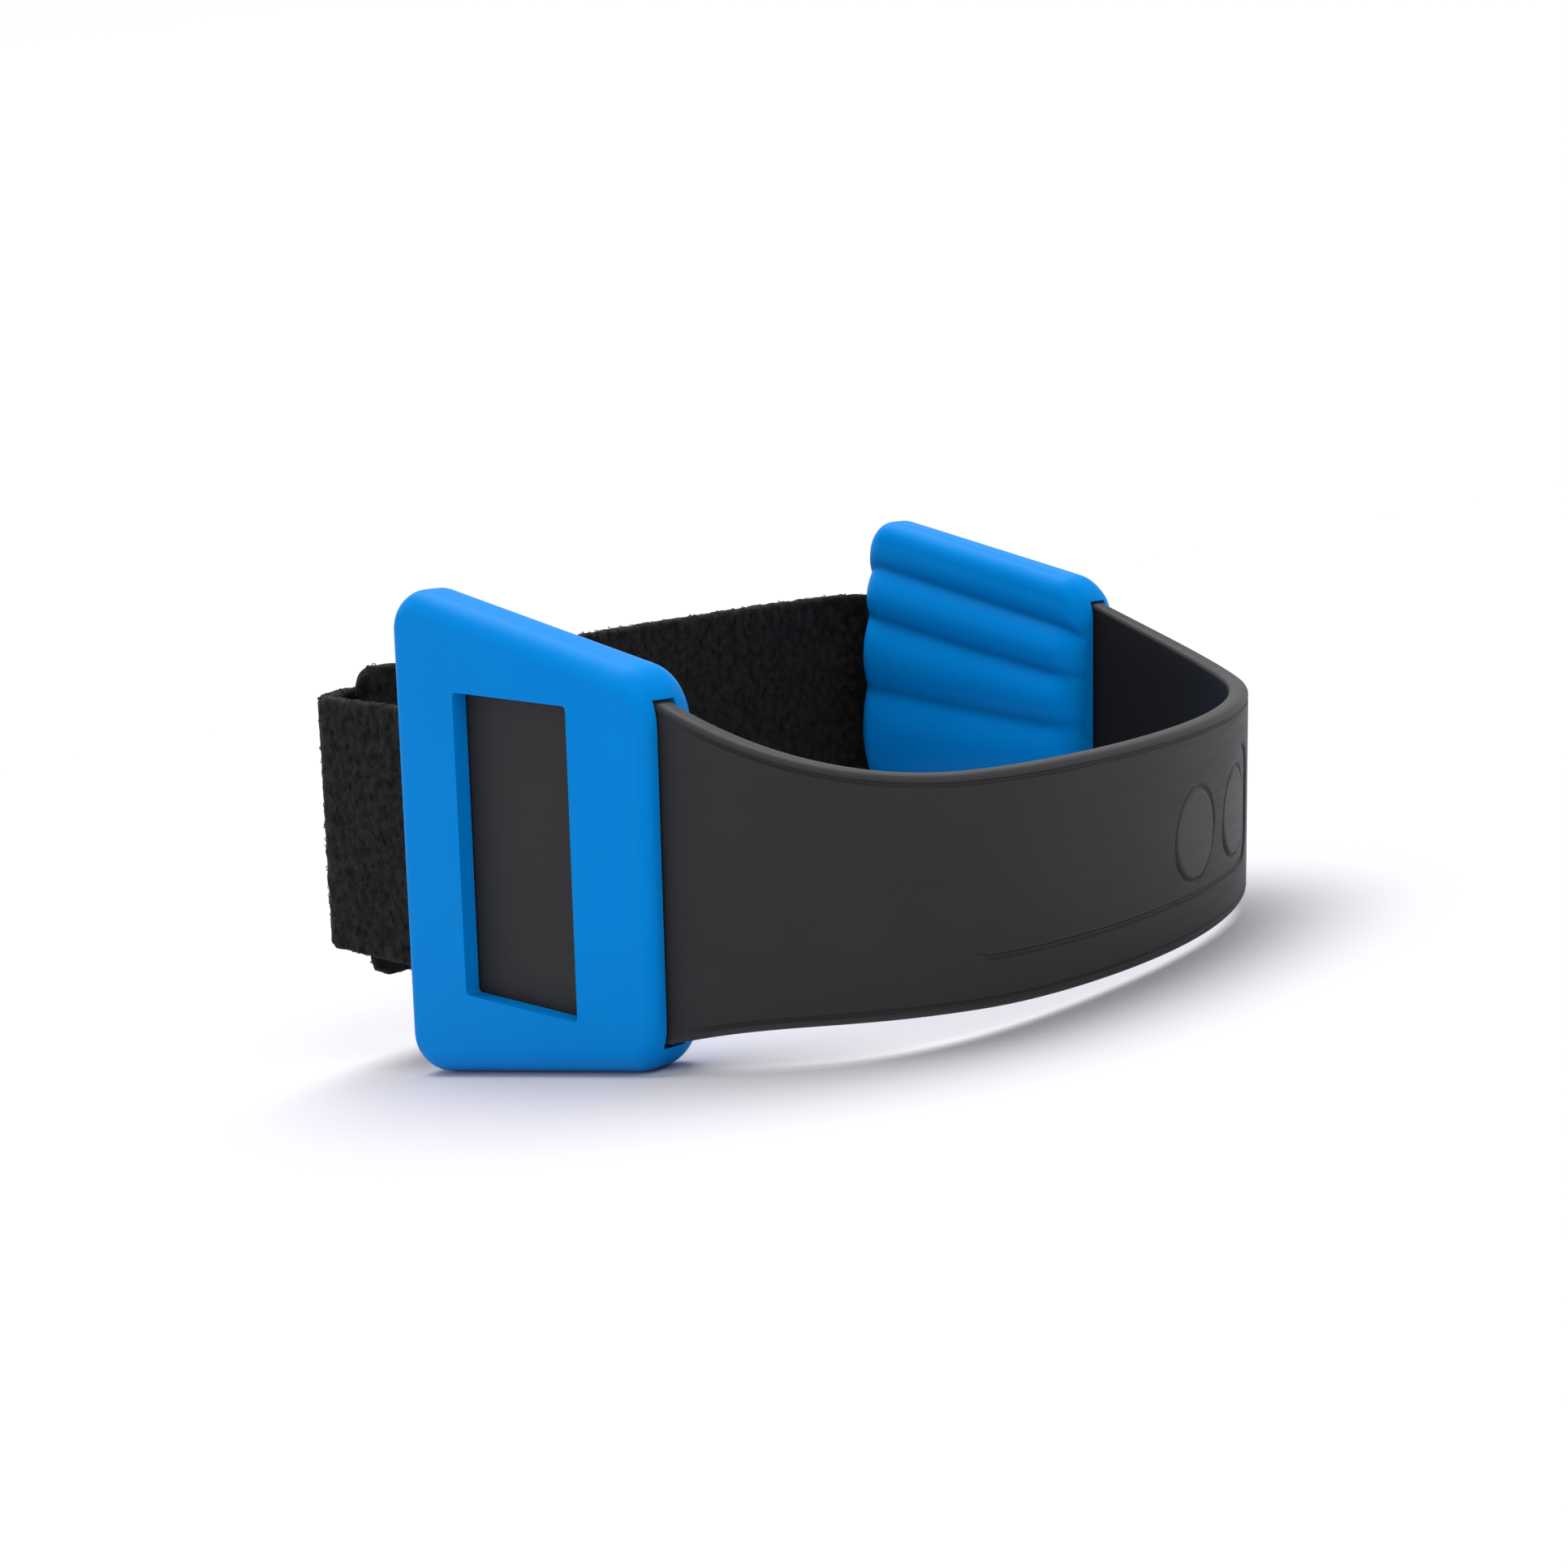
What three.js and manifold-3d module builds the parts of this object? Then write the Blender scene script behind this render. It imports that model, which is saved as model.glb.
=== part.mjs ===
// Tennis elbow strap: a springy band whose two ends sit in ribbed pressure pads,
// closed by a strap and a tab that wraps round its end.
// Everything is laid out upright, with the arm along Z, and then tipped to the way it rests.
import * as THREE from "three";
import { mergeVertices } from "three/addons/utils/BufferGeometryUtils.js";
import Module from "manifold-3d";

const wasm = await Module();
wasm.setup();

// Pads, in millimetres.
const PAD_LENGTH = 38.1;
const PAD_WIDE_HEIGHT = 53.6;
const PAD_NARROW_HEIGHT = 39.2;
const PAD_EDGE_RADIUS = 2.8;
const PAD_CORNER_RADIUS = 4.2;
const OUTER_PLATE = 1.8;
const OUTER_PLATE_END_RADIUS = 1.4;
const INNER_PLATE = 2;
const PAD_END_LIP = 0.9;
const PAD_EDGE_WALL = 2.4;
const RIB_RELIEF = 1.3;
const RIB_END_RADIUS = 3.4;
const PAD_CROWN = 3.6;
const WINDOW_LENGTH = 17.2;
const WINDOW_FROM_WIDE = 9.9;
const WINDOW_HEIGHT = 32.1;
const STOP_RAIL = 6;

// Where the pads stand: between their narrow ends, and how far each is turned.
const PAD_SPAN = 90.8;
const PAD_STAGGER = 17.7;
const PAD_TOE = THREE.MathUtils.degToRad(2.1);

// Band between the pads.
const BAND_THICKNESS = 2.2;
const BAND_WAIST = 22.7;
const BAND_FLARE = 32;
const BAND_EDGE_RADIUS = 0.9;
const BAND_REACH = 37.7;
const BAND_LEAN = 17.3;

// Strap and closing tab.
const STRAP_THICKNESS = 2;
const STRAP_WIDTH = 36;
const STRAP_EDGE_RADIUS = 0.8;
const STRAP_CORNER_RADIUS = 2.6;
const STRAP_TURN = 6;
const STRAP_SAG = 2.2;
const STRAP_END_FROM_PAD = 4.6;
const TAB_THICKNESS = 2;
const TAB_WIDTH = 28.8;
const TAB_REACH = 18.6;
const TAB_TURN = 3.4;
const TAB_LAP_LENGTH = 36;
const TAB_CORNER_RADIUS = 4;
const TAB_SAG = 1.2;

const GAP = 0.3;

// Facets.
const ARC_STEPS = 4;
const RIB_STEPS = 6;
const BEND_STEP = 3;

// Rib valleys from a pad's middle, at its wide end and at its narrow one, as shares of half the
// height between its rounded edges.
const RIB_VALLEYS = [
  { wide: 0.86, narrow: 0.82 },
  { wide: 0.57, narrow: 0.48 },
  { wide: 0.16, narrow: 0.11 },
  { wide: -0.36, narrow: -0.34 },
  { wide: -0.63, narrow: -0.6 },
  { wide: -0.86, narrow: -0.82 },
];

// The share of the ribs' swell that is left where a pad ends.
const RIB_END_SWELL = 0.15;

// How far each end of a curved stretch keeps its heading, as shares of the stretch's two extents.
const BAND_BENDS = {
  front: { leave: 0.77, arrive: 0.71 },
  back: { leave: 0.5, arrive: 0.65 },
};
const STRAP_BEND = 0.36;

// Half the slot that the band's end and the strap sit in.
const SLOT_HALF = BAND_THICKNESS / 2 + GAP;
const OUTER_FACE = SLOT_HALF + OUTER_PLATE;
const PLATE_END = STOP_RAIL + GAP;

const UP = new THREE.Vector3(0, 0, 1);

function heading(angle) {
  return new THREE.Vector3(Math.cos(angle), Math.sin(angle), 0);
}

// Each pad's narrow end, and its heading from the wide end to the narrow one.
const PADS = {
  front: { end: new THREE.Vector3(PAD_STAGGER / 2, -PAD_SPAN / 2, 0), along: heading(PAD_TOE) },
  back: { end: new THREE.Vector3(-PAD_STAGGER / 2, PAD_SPAN / 2, 0), along: heading(-PAD_TOE) },
};

// The point at a distance from a pad's wide end, in the middle of its slot.
function padPoint(pad, fromWide) {
  return pad.end.clone().addScaledVector(pad.along, fromWide - PAD_LENGTH);
}

function padHeight(fromWide) {
  return THREE.MathUtils.lerp(PAD_WIDE_HEIGHT, PAD_NARROW_HEIGHT, fromWide / PAD_LENGTH);
}

function blue() {
  return new THREE.MeshStandardMaterial({ color: "#0a82dc", roughness: 0.42, metalness: 0 });
}

function charcoal() {
  return new THREE.MeshStandardMaterial({ color: "#38393d", roughness: 0.5, metalness: 0 });
}

function blackPile() {
  return new THREE.MeshStandardMaterial({ color: "#141415", roughness: 0.95, metalness: 0 });
}

// Joins equal rings of points into one closed skin, with a fan over each end.
function loft(rings) {
  const count = rings[0].length;
  const positions = rings.flat().flatMap((point) => [point.x, point.y, point.z]);
  const index = [];
  for (let ring = 0; ring + 1 < rings.length; ring++) {
    for (let i = 0; i < count; i++) {
      const here = ring * count + i;
      const next = ring * count + ((i + 1) % count);
      index.push(here, next, here + count, next, next + count, here + count);
    }
  }
  const caps = [
    { ring: 0, first: 1, second: 0 },
    { ring: rings.length - 1, first: 0, second: 1 },
  ];
  for (const { ring, first, second } of caps) {
    const middle = new THREE.Vector3();
    rings[ring].forEach((point) => middle.addScaledVector(point, 1 / count));
    const centre = positions.length / 3;
    positions.push(middle.x, middle.y, middle.z);
    for (let i = 0; i < count; i++) {
      const start = ring * count;
      index.push(centre, start + ((i + first) % count), start + ((i + second) % count));
    }
  }
  const geometry = new THREE.BufferGeometry();
  geometry.setAttribute("position", new THREE.Float32BufferAttribute(positions, 3));
  geometry.setIndex(index);
  geometry.computeVertexNormals();
  return geometry;
}

function toSolid(geometry) {
  const bare = geometry.clone();
  bare.deleteAttribute("normal");
  bare.deleteAttribute("uv");
  const merged = mergeVertices(bare);
  return new wasm.Manifold(
    new wasm.Mesh({
      numProp: 3,
      vertProperties: new Float32Array(merged.attributes.position.array),
      triVerts: new Uint32Array(merged.index.array),
    }),
  );
}

function toGeometry(solid) {
  const { vertProperties, triVerts } = solid.getMesh();
  const geometry = new THREE.BufferGeometry();
  geometry.setAttribute("position", new THREE.Float32BufferAttribute(vertProperties, 3));
  geometry.setIndex([...triVerts]);
  geometry.computeVertexNormals();
  return geometry;
}

// How far a rounded end has drawn in at a distance from the end.
function drawnIn(distance, radius) {
  const left = Math.max(radius - distance, 0);
  return radius - Math.sqrt(radius * radius - left * left);
}

// Distances from an end at which its rounding is sampled.
function roundingSteps(radius) {
  return Array.from({ length: ARC_STEPS + 1 }, (unused, i) => {
    return radius * (1 - Math.cos((Math.PI / 2) * (i / ARC_STEPS)));
  });
}

// How much of the ribs' swell is left at a distance from a pad's end.
function endSwell(distance) {
  const left = Math.max(1 - distance / RIB_END_RADIUS, 0);
  return THREE.MathUtils.lerp(RIB_END_SWELL, 1, Math.sqrt(1 - left * left));
}

// The ribbed face's depth below the slot's middle, by how near it is to a long edge, from 0 to 1,
// and to a valley, 0 on a rib's ridge and 1 in a valley.
function ribDepth(toEdge, toValley, swell) {
  const crown = PAD_CROWN * (1 - toEdge * toEdge);
  const ribbed = INNER_PLATE + crown - RIB_RELIEF * toValley * toValley;
  return SLOT_HALF + THREE.MathUtils.lerp(PAD_END_LIP, ribbed, swell);
}

// The heights of the valleys at a distance from the wide end. Where the pad's corners draw its flat
// height in, the outer valleys bend with them most.
function valleyHeights(fromWide, flat) {
  const straight = padHeight(fromWide) / 2 - PAD_EDGE_RADIUS;
  return RIB_VALLEYS.map(({ wide, narrow }) => {
    const share = THREE.MathUtils.lerp(wide, narrow, fromWide / PAD_LENGTH);
    return share * THREE.MathUtils.lerp(straight, flat, Math.abs(share) ** 3);
  });
}

// The ribbed face from its top corner down to its lower one: heights, and how near a valley each is.
function ribPoints(fromWide, flat) {
  const marks = [flat, ...valleyHeights(fromWide, flat), -flat];
  const points = marks.slice(1).flatMap((to, rib) => {
    const fromValley = rib > 0;
    const toValley = rib < marks.length - 2;
    const steps = fromValley && toValley ? RIB_STEPS : RIB_STEPS / 2;
    return Array.from({ length: steps }, (unused, i) => {
      const t = i / steps;
      const near = Math.max(fromValley ? 1 - t : 0, toValley ? t : 0);
      const whole = fromValley && toValley;
      return { z: THREE.MathUtils.lerp(marks[rib], to, t), toValley: whole ? 2 * near - 1 : near };
    });
  });
  return [...points, { z: -flat, toValley: 0 }];
}

// A pad's outline across its length, from the outer face over the top, down the ribs and back
// under the lower edge. Its long edges are rounded less where the walls draw in towards the ends.
function padRing(fromWide) {
  const fromEnd = Math.min(fromWide, PAD_LENGTH - fromWide);
  const half = padHeight(fromWide) / 2 - drawnIn(fromEnd, PAD_CORNER_RADIUS);
  const outer = OUTER_FACE - drawnIn(fromEnd, OUTER_PLATE_END_RADIUS);
  const swell = endSwell(fromEnd);
  const edge = Math.min(PAD_EDGE_RADIUS, (outer + ribDepth(1, 0, swell)) / 2);
  const flat = half - edge;
  const depthAt = (z, toValley) => ribDepth(Math.abs(z) / half, toValley, swell);
  const over = [];
  for (let i = 0; i <= ARC_STEPS; i++) {
    const angle = (Math.PI / 2) * (i / ARC_STEPS);
    over.push([outer - edge * (1 - Math.cos(angle)), flat + edge * Math.sin(angle)]);
  }
  for (let i = 0; i < ARC_STEPS; i++) {
    const angle = (Math.PI / 2) * (i / ARC_STEPS);
    const y = edge * (1 - Math.sin(angle)) - depthAt(flat, 0);
    over.push([y, flat + edge * Math.cos(angle)]);
  }
  const ribs = ribPoints(fromWide, flat).map(({ z, toValley }) => [-depthAt(z, toValley), z]);
  const under = over.map(([y, z]) => [y, -z]).reverse();
  return [...over, ...ribs, ...under].map(([y, z]) => new THREE.Vector3(fromWide, y, z));
}

// A flat outline in the pad's long plane, given thickness through the pad.
function slab(corners, from, to) {
  const shape = new THREE.Shape(corners.map(([x, z]) => new THREE.Vector2(x, z)));
  const geometry = new THREE.ExtrudeGeometry(shape, { depth: to - from, bevelEnabled: false });
  geometry.rotateX(Math.PI / 2);
  geometry.translate(0, to, 0);
  return geometry;
}

function rectangle(x0, x1, halfHeight) {
  return [
    [x0, -halfHeight],
    [x1, -halfHeight],
    [x1, halfHeight],
    [x0, halfHeight],
  ];
}

// The slot for the band's end plate, open at the narrow end.
function plateSlot() {
  const past = PAD_LENGTH + GAP;
  const wide = padHeight(STOP_RAIL) / 2 - PAD_EDGE_WALL;
  const narrow = padHeight(past) / 2 - PAD_EDGE_WALL;
  const corners = [
    [STOP_RAIL, -wide],
    [past, -narrow],
    [past, narrow],
    [STOP_RAIL, wide],
  ];
  return slab(corners, -SLOT_HALF, SLOT_HALF);
}

// The mouth that the strap or the tab leaves by, at the wide end.
function strapMouth() {
  const halfHeight = STRAP_WIDTH / 2 + STRAP_SAG + GAP;
  return slab(rectangle(-GAP, PLATE_END, halfHeight), -SLOT_HALF, SLOT_HALF);
}

function windowCut() {
  const end = WINDOW_FROM_WIDE + WINDOW_LENGTH;
  return slab(rectangle(WINDOW_FROM_WIDE, end, WINDOW_HEIGHT / 2), 0, OUTER_FACE + GAP);
}

function padGeometry() {
  const near = [PAD_CORNER_RADIUS, OUTER_PLATE_END_RADIUS, RIB_END_RADIUS];
  const steps = [...new Set(near.flatMap(roundingSteps))].sort((a, b) => a - b);
  const apart = steps.filter((step, i) => i === 0 || step - steps[i - 1] > GAP / 2);
  const stations = [...apart, ...apart.map((step) => PAD_LENGTH - step).reverse()];
  const body = toSolid(loft(stations.map(padRing)));
  const hollow = toSolid(plateSlot()).add(toSolid(strapMouth())).add(toSolid(windowCut()));
  return toGeometry(body.subtract(hollow));
}

// A curved stretch between two points, leaving and arriving on given headings.
function bend(from, leaving, leaveLength, to, arriving, arriveLength) {
  const first = from.clone().addScaledVector(leaving, leaveLength);
  const second = to.clone().addScaledVector(arriving, -arriveLength);
  return new THREE.CubicBezierCurve3(from, first, second, to);
}

function chain(...curves) {
  const path = new THREE.CurvePath();
  curves.forEach((curve) => path.add(curve));
  return path;
}

// Even distances along a path, with extra ones where its ends are rounded.
function stationsAlong(length, endRadius) {
  const ends = endRadius > 0 ? roundingSteps(endRadius) : [0];
  const inner = length - 2 * ends.at(-1);
  const count = Math.ceil(inner / BEND_STEP);
  const middle = Array.from({ length: count - 1 }, (unused, i) => {
    return ends.at(-1) + (inner * (i + 1)) / count;
  });
  return [...ends, ...middle, ...ends.map((step) => length - step).reverse()];
}

// A flat strip that follows a path on edge, with rounded edges and a height at each distance.
function ribbon(path, distances, thickness, edgeRadius, halfHeightAt, middleAt) {
  const length = path.getLength();
  const rings = distances.map((distance) => {
    const share = distance / length;
    const at = path.getPointAt(share);
    const across = UP.clone().cross(path.getTangentAt(share).setZ(0).normalize());
    const half = halfHeightAt(distance);
    const ring = [];
    for (const quarter of [0, 1, 2, 3]) {
      for (let i = 0; i <= ARC_STEPS / 2; i++) {
        const angle = (Math.PI / 2) * (quarter + i / (ARC_STEPS / 2));
        const side = quarter === 0 || quarter === 3 ? 1 : -1;
        const top = quarter < 2 ? 1 : -1;
        const y = side * (thickness / 2 - edgeRadius) + edgeRadius * Math.cos(angle);
        const z = top * (half - edgeRadius) + edgeRadius * Math.sin(angle);
        ring.push(at.clone().addScaledVector(across, y).setZ(middleAt + z));
      }
    }
    return ring;
  });
  return loft(rings);
}

// The band's middle line, from inside the front pad round to inside the back one.
function bandPath() {
  const { front, back } = PADS;
  const apex = new THREE.Vector3(BAND_REACH, -BAND_LEAN, 0);
  const across = heading(Math.PI / 2);
  const { front: near, back: far } = BAND_BENDS;
  return chain(
    new THREE.LineCurve3(padPoint(front, PLATE_END), front.end),
    bend(
      front.end,
      front.along,
      near.leave * (apex.x - front.end.x),
      apex,
      across,
      near.arrive * (apex.y - front.end.y),
    ),
    bend(
      apex,
      across,
      far.leave * (back.end.y - apex.y),
      back.end,
      back.along.clone().negate(),
      far.arrive * (apex.x - back.end.x),
    ),
    new THREE.LineCurve3(back.end, padPoint(back, PLATE_END)),
  );
}

// Half the band's height at a distance from its nearer end: a plate that fits the pad,
// then a flare that eases down to the waist.
function bandHalfHeight(fromEnd) {
  const fromWide = PLATE_END + fromEnd;
  const plate = padHeight(Math.min(fromWide, PAD_LENGTH)) / 2 - PAD_EDGE_WALL - GAP;
  const beyond = Math.max(fromWide - PAD_LENGTH, 0);
  const ease = Math.max(1 - beyond / BAND_FLARE, 0);
  return fromWide < PAD_LENGTH ? plate : BAND_WAIST / 2 + (plate - BAND_WAIST / 2) * ease * ease;
}

function bandGeometry() {
  const path = bandPath();
  const length = path.getLength();
  const plate = PAD_LENGTH - PLATE_END;
  const free = length - 2 * plate;
  const count = Math.ceil(free / BEND_STEP);
  const between = Array.from({ length: count + 1 }, (unused, i) => plate + (free * i) / count);
  const distances = [0, ...between, length];
  const halfHeightAt = (distance) => bandHalfHeight(Math.min(distance, length - distance));
  return ribbon(path, distances, BAND_THICKNESS, BAND_EDGE_RADIUS, halfHeightAt, 0);
}

// Where the strap turns the corner beside the back pad, and where it ends beside the front one.
function strapStretch() {
  const { front, back } = PADS;
  const mouth = padPoint(back, 0);
  const turned = mouth.clone().add(new THREE.Vector3(-STRAP_TURN, -STRAP_TURN, 0));
  const lap = (STRAP_THICKNESS + TAB_THICKNESS) / 2 + GAP;
  const corner = padPoint(front, -TAB_REACH);
  const end = corner.clone().add(new THREE.Vector3(lap, STRAP_END_FROM_PAD, 0));
  return { mouth, turned, end, lap, corner };
}

function strapRun() {
  const { turned, end } = strapStretch();
  const down = heading(-Math.PI / 2);
  const keep = STRAP_BEND * (turned.y - end.y);
  return bend(turned, down, keep, end, down, keep);
}

// A strip's half height, with its corners rounded at its free end.
function freeEnd(width, radius, length) {
  return (distance) => width / 2 - drawnIn(length - distance, radius);
}

function strapGeometry() {
  const { back } = PADS;
  const { mouth, turned } = strapStretch();
  const out = back.along.clone().negate();
  const path = chain(
    new THREE.LineCurve3(padPoint(back, STOP_RAIL), mouth),
    bend(mouth, out, STRAP_TURN / 2, turned, heading(-Math.PI / 2), STRAP_TURN / 2),
    strapRun(),
  );
  const length = path.getLength();
  const halfHeightAt = freeEnd(STRAP_WIDTH, STRAP_CORNER_RADIUS, length);
  const distances = stationsAlong(length, STRAP_CORNER_RADIUS);
  return ribbon(path, distances, STRAP_THICKNESS, STRAP_EDGE_RADIUS, halfHeightAt, -STRAP_SAG);
}

// The tab leaves the front pad, turns round the strap's end and lies on the strap's outer face.
function tabGeometry() {
  const { front } = PADS;
  const { lap } = strapStretch();
  const out = front.along.clone().negate();
  const run = strapRun();
  const runLength = run.getLength();
  const lapped = [];
  const steps = Math.ceil(TAB_LAP_LENGTH / BEND_STEP);
  for (let i = 0; i <= steps; i++) {
    const share = 1 - (TAB_LAP_LENGTH * i) / steps / runLength;
    const outwards = UP.clone().cross(run.getTangentAt(share)).negate();
    lapped.push(run.getPointAt(share).addScaledVector(outwards, lap));
  }
  const bendStart = padPoint(front, TAB_TURN - TAB_REACH);
  const path = chain(
    new THREE.LineCurve3(padPoint(front, STOP_RAIL), bendStart),
    bend(bendStart, out, TAB_TURN / 2, lapped[0], heading(Math.PI / 2), TAB_TURN / 2),
    new THREE.CatmullRomCurve3(lapped),
  );
  const length = path.getLength();
  const halfHeightAt = freeEnd(TAB_WIDTH, TAB_CORNER_RADIUS, length);
  const distances = stationsAlong(length, TAB_CORNER_RADIUS);
  return ribbon(path, distances, TAB_THICKNESS, STRAP_EDGE_RADIUS, halfHeightAt, -TAB_SAG);
}

function named(name, geometry, material) {
  const mesh = new THREE.Mesh(geometry, material);
  mesh.name = name;
  return mesh;
}

// A pad's outline is alike above and below its middle, so the same moulding faces the other way
// after half a turn about its length.
function placedPad(name, pad, facing) {
  const mesh = named(name, padGeometry(), blue());
  mesh.position.copy(padPoint(pad, 0));
  mesh.rotation.set(facing, 0, Math.atan2(pad.along.y, pad.along.x), "ZYX");
  return mesh;
}

// The turn that lays both pads' lower edges on level ground.
function restingTurn() {
  const { front, back } = PADS;
  const drop = new THREE.Vector3(0, 0, (PAD_WIDE_HEIGHT - PAD_NARROW_HEIGHT) / 2);
  const along = front.along.clone().add(back.along).normalize();
  const edge = along.multiplyScalar(PAD_LENGTH).add(drop);
  const over = back.end.clone().sub(front.end);
  const floor = edge.cross(over).normalize();
  return new THREE.Quaternion().setFromUnitVectors(floor, UP);
}

const upright = new THREE.Group();
upright.add(
  named("band", bandGeometry(), charcoal()),
  placedPad("front_pad", PADS.front, Math.PI),
  placedPad("back_pad", PADS.back, 0),
  named("strap", strapGeometry(), blackPile()),
  named("closing_tab", tabGeometry(), blackPile()),
);
upright.quaternion.copy(restingTurn());

// The origin is on the ground, below the middle of the whole.
const resting = new THREE.Group();
resting.add(upright);
resting.updateMatrixWorld(true);
const bounds = new THREE.Box3().setFromObject(resting, true);
const centre = bounds.getCenter(new THREE.Vector3());
upright.position.set(-centre.x, -centre.y, -bounds.min.z);

export default resting;
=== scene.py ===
import math

import bmesh
import bpy
import numpy as np
from mathutils import Matrix, Vector, noise


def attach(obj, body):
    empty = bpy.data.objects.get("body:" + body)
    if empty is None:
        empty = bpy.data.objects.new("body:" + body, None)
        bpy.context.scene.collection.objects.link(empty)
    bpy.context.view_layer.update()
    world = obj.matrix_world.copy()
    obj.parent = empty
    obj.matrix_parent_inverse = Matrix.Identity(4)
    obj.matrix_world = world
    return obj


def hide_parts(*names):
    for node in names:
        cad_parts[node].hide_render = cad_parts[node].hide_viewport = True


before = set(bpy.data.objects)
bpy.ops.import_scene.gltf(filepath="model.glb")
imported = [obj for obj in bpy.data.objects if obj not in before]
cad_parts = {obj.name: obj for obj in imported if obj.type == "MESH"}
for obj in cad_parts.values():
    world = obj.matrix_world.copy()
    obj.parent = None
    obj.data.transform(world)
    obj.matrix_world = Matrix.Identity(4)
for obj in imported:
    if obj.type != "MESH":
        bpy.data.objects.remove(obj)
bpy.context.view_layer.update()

bl_info = {
    "name": "Tennis elbow strap",
    "version": (1, 0, 0),
    "blender": (4, 5, 0),
    "location": "3D View > Sidebar > Elbow strap",
    "description": "Builds a forearm strap of two ribbed pads, a moulded band and a pile closure",
    "category": "Add Mesh",
}

MM = 0.001

# How the upright loop is tipped so that the lower edges of both pads lie on the floor.
RESTING = Matrix((
    (0.982626, -0.003387, 0.185568, 8.293829 * MM),
    (-0.003387, 0.99934, 0.036174, -0.123818 * MM),
    (-0.185568, -0.036174, 0.981965, 19.312861 * MM),
    (0.0, 0.0, 0.0, 1.0),
))

# The space left between neighbouring pieces.
GAP = 0.3 * MM

# Heights of the valleys between the ribs above a pad's middle, at its wide end and at its narrow
# one, as shares of half the height between its rounded edges.
RIB_VALLEYS = (
    (0.86, 0.82), (0.57, 0.48), (0.16, 0.11), (-0.36, -0.34), (-0.63, -0.6), (-0.86, -0.82),
)

# Where a rib's curve, from 0 on its ridge to 1 in its valley, turns into the valley's rounding.
VALLEY_ROUNDING = 0.93

# How far from the bottom of a valley the painted shade in its crease reaches.
VALLEY_PAINTED_SHADE = 0.8 * MM

# The share of the ribs' swell that is left where a pad ends.
RIB_END_SWELL = 0.15

# Reach of the band's bends from each pad and from its apex, as shares of what they span.
FRONT_BEND = 0.77
FRONT_APEX_BEND = 0.71
BACK_APEX_BEND = 0.5
BACK_BEND = 0.65

# Rounding of the sunk panel's corners, the discs' places from the panel's start, and the depth
# of the line round each disc.
PANEL_CORNER = 3.5 * MM
DISC_PLACES = (36.5 * MM, 49.5 * MM)
DISC_LINE_DEPTH = 0.2 * MM

# Half the width of the lines round the panel and the discs, and of those along the band's edges.
OUTLINE_HALF = 0.3 * MM
EDGE_LINE_HALF = 0.26 * MM

# Rows of points down the band's plain inner face.
INNER_ROWS = 14

# Reach of the bends at both ends of the strap's long stretch, as a share of its length.
STRAP_BEND = 0.36

# How far the small curls of the pile lift its surface, and how many there are to a metre.
PILE_LIFT = 0.17 * MM
PILE_CURLS = 950.0

# How far the loops of pile lean, how deep they are rooted, and their smallest and largest scale.
LOOP_LEAN = 1.15
LOOP_ROOT = 0.09 * MM
LOOP_SCALES = (0.55, 1.15)

# Colours of the pile where its curls catch the light, a painted highlight over the pile's own
# speckle, and of the little dust on it.
PILE_CURL_HIGHLIGHT = (0.0145, 0.0134, 0.0122, 1.0)
PILE_DUST = (0.014, 0.0125, 0.0115, 1.0)


def length_property(name, description, default_mm, smallest_mm=0.0):
    return bpy.props.FloatProperty(
        name=name, description=description, default=default_mm * MM, min=smallest_mm * MM,
        soft_max=0.5, precision=4, unit="LENGTH", subtype="DISTANCE",
    )


def colour_property(name, description, default):
    return bpy.props.FloatVectorProperty(
        name=name, description=description, default=default, size=4, min=0.0, max=1.0,
        subtype="COLOR",
    )


class PadSettings(bpy.types.PropertyGroup):
    length: length_property("Length", "Pad length round the arm", 38.1, 20)
    wide_height: length_property("Wide height", "Height at the strap's end", 53.6, 30)
    narrow_height: length_property("Narrow height", "Height at the band's end", 39.2, 20)
    edge_radius: length_property("Edge radius", "Rounding of the long edges", 2.8, 0.5)
    corner_radius: length_property("Corner radius", "Rounding of the four corners", 4.2, 0.5)
    outer_plate: length_property("Outer wall", "Wall outside the slot", 1.8, 0.5)
    outer_end_radius: length_property(
        "Outer end radius", "Rounding of the outer wall's ends", 1.4, 0.1)
    inner_plate: length_property("Inner wall", "Wall inside the slot, at a rib", 2.0, 0.5)
    rib_end_radius: length_property("Rib end radius", "Rounding of the ribs' ends", 3.4, 0.1)
    end_lip: length_property("End lip", "Wall inside the slot where the pad ends", 0.9, 0.3)
    edge_wall: length_property("Edge wall", "Wall above and below the slot", 2.4, 0.5)
    rib_relief: length_property("Rib relief", "Depth of the valleys between ribs", 1.3)
    crown: length_property("Crown", "How far the middle rib stands proud", 3.6)
    window_length: length_property("Window length", "Length of the outer window", 17.2, 1)
    window_from_wide: length_property("Window place", "From the wide end to the window", 9.9, 1)
    window_height: length_property("Window height", "Height of the outer window", 32.1, 1)
    stop_rail: length_property("End rail", "Solid rail beyond the band's plate", 6.0, 1)
    span: length_property("Span", "Between the middles of the two slots", 90.8, 40)
    stagger: length_property("Stagger", "How far one pad sits ahead of the other", 17.7)
    toe: bpy.props.FloatProperty(
        name="Toe", description="Turn of each pad in plan", default=math.radians(2.1),
        unit="ROTATION", subtype="ANGLE",
    )
    rim: length_property("Cut edge", "Rounding of the cut edges", 0.35)
    colour: colour_property("Colour", "Moulded pad colour", (0.0006, 0.224, 0.66, 1.0))


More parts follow.
